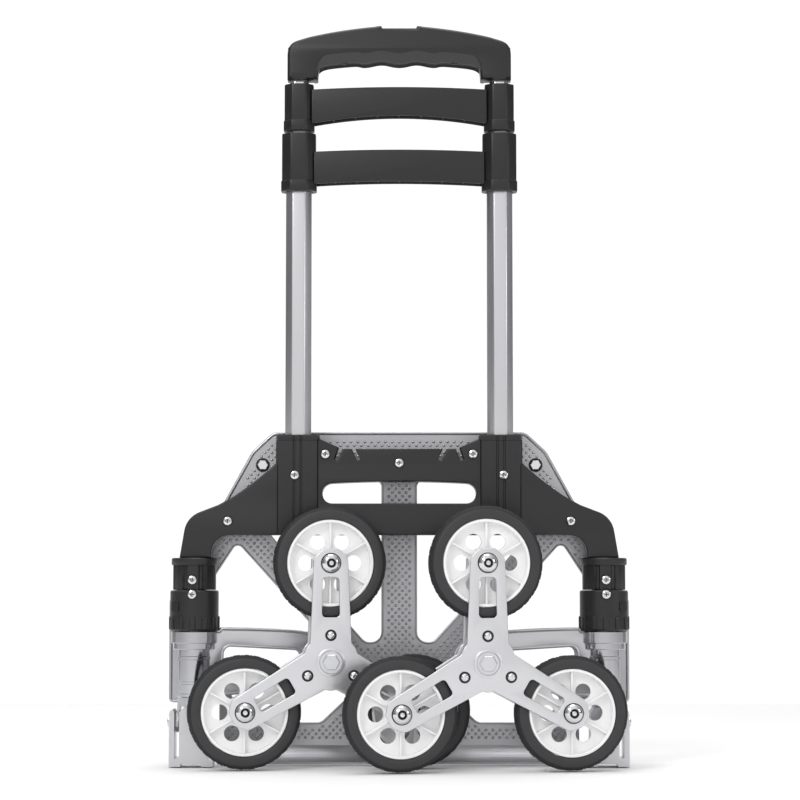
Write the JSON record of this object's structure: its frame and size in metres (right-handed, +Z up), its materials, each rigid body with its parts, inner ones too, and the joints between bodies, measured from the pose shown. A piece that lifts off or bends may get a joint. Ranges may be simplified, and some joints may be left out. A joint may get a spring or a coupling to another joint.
{
  "type": "folding stair-climbing hand truck",
  "caption": "Folding hand truck with a telescopic handle, a hinged toe plate and swing-out star wheel clusters for climbing stairs, shown folded",
  "frame": {"origin": "on the floor, in the middle of the box round the folded truck", "axes": "+Z is up along the handle; +X is to the right and the wheel side faces -Y"},
  "size_m": [0.501, 0.1568, 0.8076],
  "materials": {
    "black_plastic": "satin moulded plastic",
    "grey_plastic": "matt moulded plastic",
    "white_plastic": "satin moulded plastic",
    "tyre": "matt rubber",
    "anodised": "drawn tube with a satin anodised finish",
    "sheet_aluminium": "pressed sheet with raised bumps",
    "cast_aluminium": "cast, lightly polished",
    "star_steel": "zinc-plated sheet steel",
    "chrome": "bright plated",
    "spring_steel": "plain spring wire"
  },
  "bodies": {
    "frame": {"yoke_front_shell": "black_plastic", "yoke_rear_shell": "black_plastic", "lower_brace": "black_plastic", "outer_tube_left": "anodised", "leg_tube_left": "anodised", "leg_socket_left": "black_plastic", "spring_housing_left": "black_plastic", "return_spring_left": "spring_steel", "foot_bracket_left": "cast_aluminium", "hinge_pin_left": "chrome", "outer_tube_right": "anodised", "leg_tube_right": "anodised", "leg_socket_right": "black_plastic", "spring_housing_right": "black_plastic", "return_spring_right": "spring_steel", "foot_bracket_right": "cast_aluminium", "hinge_pin_right": "chrome"},
    "mid_stage": {"mid_tube_left": "anodised", "mid_tube_right": "anodised", "upper_brace": "black_plastic"},
    "handle": {"handle_grip": "black_plastic", "handle_insert": "grey_plastic", "inner_tube_left": "anodised", "inner_tube_right": "anodised"},
    "button": {"release_button": "grey_plastic", "release_wire": "spring_steel"},
    "toe_plate_body": {"toe_plate": "sheet_aluminium", "plate_bolt_left": "chrome", "plate_bolt_right": "chrome"},
    "arm_left": {"swing_arm_left": "cast_aluminium", "hub_axle_left": "chrome"},
    "star_left": {"star_inner_plate_left": "star_steel", "star_outer_plate_left": "star_steel", "star_hub_left": "star_steel", "axle_left_top": "chrome", "axle_left_outer": "chrome", "axle_left_inner": "chrome"},
    "wheel_left_top": {"rim_left_top": "white_plastic", "tyre_left_top": "tyre"},
    "wheel_left_outer": {"rim_left_outer": "white_plastic", "tyre_left_outer": "tyre"},
    "wheel_left_inner": {"rim_left_inner": "white_plastic", "tyre_left_inner": "tyre"},
    "arm_right": {"swing_arm_right": "cast_aluminium", "hub_axle_right": "chrome"},
    "star_right": {"star_inner_plate_right": "star_steel", "star_outer_plate_right": "star_steel", "star_hub_right": "star_steel", "axle_right_top": "chrome", "axle_right_inner": "chrome", "axle_right_outer": "chrome"},
    "wheel_right_top": {"rim_right_top": "white_plastic", "tyre_right_top": "tyre"},
    "wheel_right_inner": {"rim_right_inner": "white_plastic", "tyre_right_inner": "tyre"},
    "wheel_right_outer": {"rim_right_outer": "white_plastic", "tyre_right_outer": "tyre"}
  },
  "joints": [
    {"name": "toe_plate_hinge", "type": "hinge", "parent": "frame", "child": "toe_plate_body", "pos_m": [0, 0.0323, 0.047], "axis": [-1, 0, 0], "range_deg": [0, 90]},
    {"name": "left_arm_swing", "type": "hinge", "parent": "frame", "child": "arm_left", "pos_m": [-0.222, 0.0323, 0.113], "axis": [0, 0, -1], "range_deg": [0, 98]},
    {"name": "right_arm_swing", "type": "hinge", "parent": "frame", "child": "arm_right", "pos_m": [0.222, 0.0323, 0.113], "axis": [0, 0, 1], "range_deg": [0, 82]},
    {"name": "left_star_spin", "type": "hinge", "parent": "arm_left", "child": "star_left", "pos_m": [-0.07446, -0.00654, 0.113], "axis": [0.1392, -0.9903, 0], "range_deg": [-60, 0]},
    {"name": "left_top_wheel_spin", "type": "hinge", "parent": "star_left", "child": "wheel_left_top", "pos_m": [-0.07446, -0.00654, 0.218], "axis": [0.1392, -0.9903, 0], "continuous": true},
    {"name": "left_outer_wheel_spin", "type": "hinge", "parent": "star_left", "child": "wheel_left_outer", "pos_m": [-0.16451, -0.0192, 0.0605], "axis": [0.1392, -0.9903, 0], "continuous": true},
    {"name": "left_inner_wheel_spin", "type": "hinge", "parent": "star_left", "child": "wheel_left_inner", "pos_m": [0.01559, 0.00611, 0.0605], "axis": [0.1392, -0.9903, 0], "continuous": true},
    {"name": "right_star_spin", "type": "hinge", "parent": "arm_right", "child": "star_right", "pos_m": [0.09088, -0.04571, 0.113], "axis": [0.1392, -0.9903, 0], "continuous": true},
    {"name": "right_top_wheel_spin", "type": "hinge", "parent": "star_right", "child": "wheel_right_top", "pos_m": [0.09088, -0.04571, 0.218], "axis": [0.1392, -0.9903, 0], "continuous": true},
    {"name": "right_inner_wheel_spin", "type": "hinge", "parent": "star_right", "child": "wheel_right_inner", "pos_m": [0.00083, -0.05836, 0.0605], "axis": [0.1392, -0.9903, 0], "continuous": true},
    {"name": "right_outer_wheel_spin", "type": "hinge", "parent": "star_right", "child": "wheel_right_outer", "pos_m": [0.18093, -0.03305, 0.0605], "axis": [0.1392, -0.9903, 0], "continuous": true},
    {"name": "mid_stage_slide", "type": "slide", "parent": "frame", "child": "mid_stage", "axis": [0, 0, 1], "range_m": [0, 0.145]},
    {"name": "handle_slide", "type": "slide", "parent": "mid_stage", "child": "handle", "axis": [0, 0, 1], "range_m": [0, 0.145]},
    {"name": "release_button_press", "type": "slide", "parent": "handle", "child": "button", "axis": [0, 0, -1], "range_m": [0, 0.0045], "stiffness_N_per_m": 800, "springref_m": -0.001}
  ],
  "couplings": [
    {"joint": "left_arm_swing", "follows": "toe_plate_hinge", "ratio": 1.0888},
    {"joint": "right_arm_swing", "follows": "toe_plate_hinge", "ratio": 0.9111}
  ]
}
